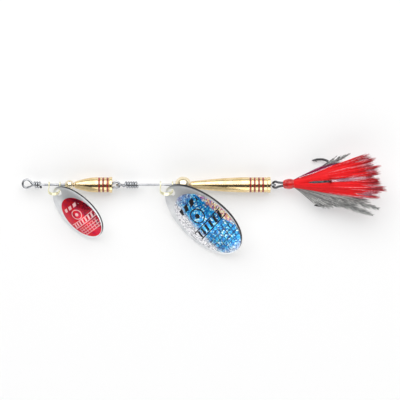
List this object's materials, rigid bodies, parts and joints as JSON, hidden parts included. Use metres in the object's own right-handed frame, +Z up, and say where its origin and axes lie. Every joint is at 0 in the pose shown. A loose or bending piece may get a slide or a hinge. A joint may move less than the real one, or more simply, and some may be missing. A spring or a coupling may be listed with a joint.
{
  "type": "in-line tandem spinner",
  "caption": "Fishing lure of two linked wire shafts, each with a swinging blade, a bead and a turned brass body, ending in a feather-dressed treble hook.",
  "frame": {"origin": "on the table, under the middle of the lure's box as it lies at rest", "axes": "+X along the wires from the line tie to the feathers, +Z up from the table, blades laid towards -Y"},
  "size_m": [0.1142, 0.032, 0.0136],
  "materials": {
    "steel_wire": "polished",
    "clevis_brass": "satin",
    "blade_steel": "satin",
    "red_foil": "foil",
    "holographic_foil": "foil",
    "polished_brass": "polished",
    "red_lacquer": "gloss",
    "hook_nickel": "black nickel",
    "thread_lacquer": "gloss",
    "red_feather": "matt",
    "grey_feather": "matt"
  },
  "bodies": {
    "front_shaft": {"front_wire": "steel_wire"},
    "front_clevis": {"front_clevis": "clevis_brass"},
    "front_blade": {"front_blade": "blade_steel", "front_foil": "red_foil"},
    "front_bead": {"front_bead": "polished_brass"},
    "front_body": {"front_body": "polished_brass", "front_ring_1": "red_lacquer", "front_ring_2": "red_lacquer", "front_ring_3": "red_lacquer"},
    "rear_shaft": {"rear_wire": "steel_wire"},
    "rear_clevis": {"rear_clevis": "clevis_brass"},
    "rear_blade": {"rear_blade": "blade_steel", "rear_foil": "holographic_foil"},
    "rear_bead": {"rear_bead": "polished_brass"},
    "rear_body": {"rear_body": "polished_brass", "rear_ring_1": "red_lacquer", "rear_ring_2": "red_lacquer", "rear_ring_3": "red_lacquer", "rear_ring_4": "red_lacquer"},
    "treble": {"treble_double_hook": "hook_nickel", "treble_single_hook": "hook_nickel", "thread_head": "thread_lacquer", "red_feather_top": "red_feather", "red_feather_upper": "red_feather", "red_feather_lower": "red_feather", "red_feather_bottom": "red_feather", "grey_feather_low": "grey_feather", "grey_feather_side": "grey_feather", "dark_feather_top": "grey_feather"}
  },
  "joints": [
    {"name": "front_clevis_spin", "type": "hinge", "parent": "front_shaft", "child": "front_clevis", "pos_m": [-0.04681, 0.00584, 0.0026], "axis": [1, 0, 0], "continuous": true},
    {"name": "front_blade_swing", "type": "hinge", "parent": "front_clevis", "child": "front_blade", "pos_m": [-0.04681, 0.00385, 0.00578], "axis": [0, -0.8477, -0.5305], "range_deg": [0, 60]},
    {"name": "front_bead_spin", "type": "hinge", "parent": "front_shaft", "child": "front_bead", "pos_m": [-0.04216, 0.00584, 0.0026], "axis": [1, 0, 0], "continuous": true},
    {"name": "front_body_spin", "type": "hinge", "parent": "front_shaft", "child": "front_body", "pos_m": [-0.03466, 0.00584, 0.0026], "axis": [1, 0, 0], "continuous": true},
    {"name": "link_swing", "type": "hinge", "parent": "front_shaft", "child": "rear_shaft", "pos_m": [-0.02724, 0.00584, 0.0026], "axis": [0, 0, 1], "range_deg": [-60, 60]},
    {"name": "rear_clevis_spin", "type": "hinge", "parent": "rear_shaft", "child": "rear_clevis", "pos_m": [-0.01171, 0.00584, 0.0026], "axis": [1, 0, 0], "continuous": true},
    {"name": "rear_blade_swing", "type": "hinge", "parent": "rear_clevis", "child": "rear_blade", "pos_m": [-0.01171, 0.0039, 0.00587], "axis": [0, -0.8606, -0.5094], "range_deg": [0, 60]},
    {"name": "rear_bead_spin", "type": "hinge", "parent": "rear_shaft", "child": "rear_bead", "pos_m": [-0.00651, 0.00584, 0.0026], "axis": [1, 0, 0], "continuous": true},
    {"name": "rear_body_spin", "type": "hinge", "parent": "rear_shaft", "child": "rear_body", "pos_m": [0.00842, 0.00584, 0.0026], "axis": [1, 0, 0], "continuous": true},
    {"name": "treble_swing", "type": "hinge", "parent": "rear_shaft", "child": "treble", "pos_m": [0.02231, 0.00584, 0.00272], "axis": [-0.1564, 0, 0.9877], "range_deg": [-70, 70]}
  ]
}
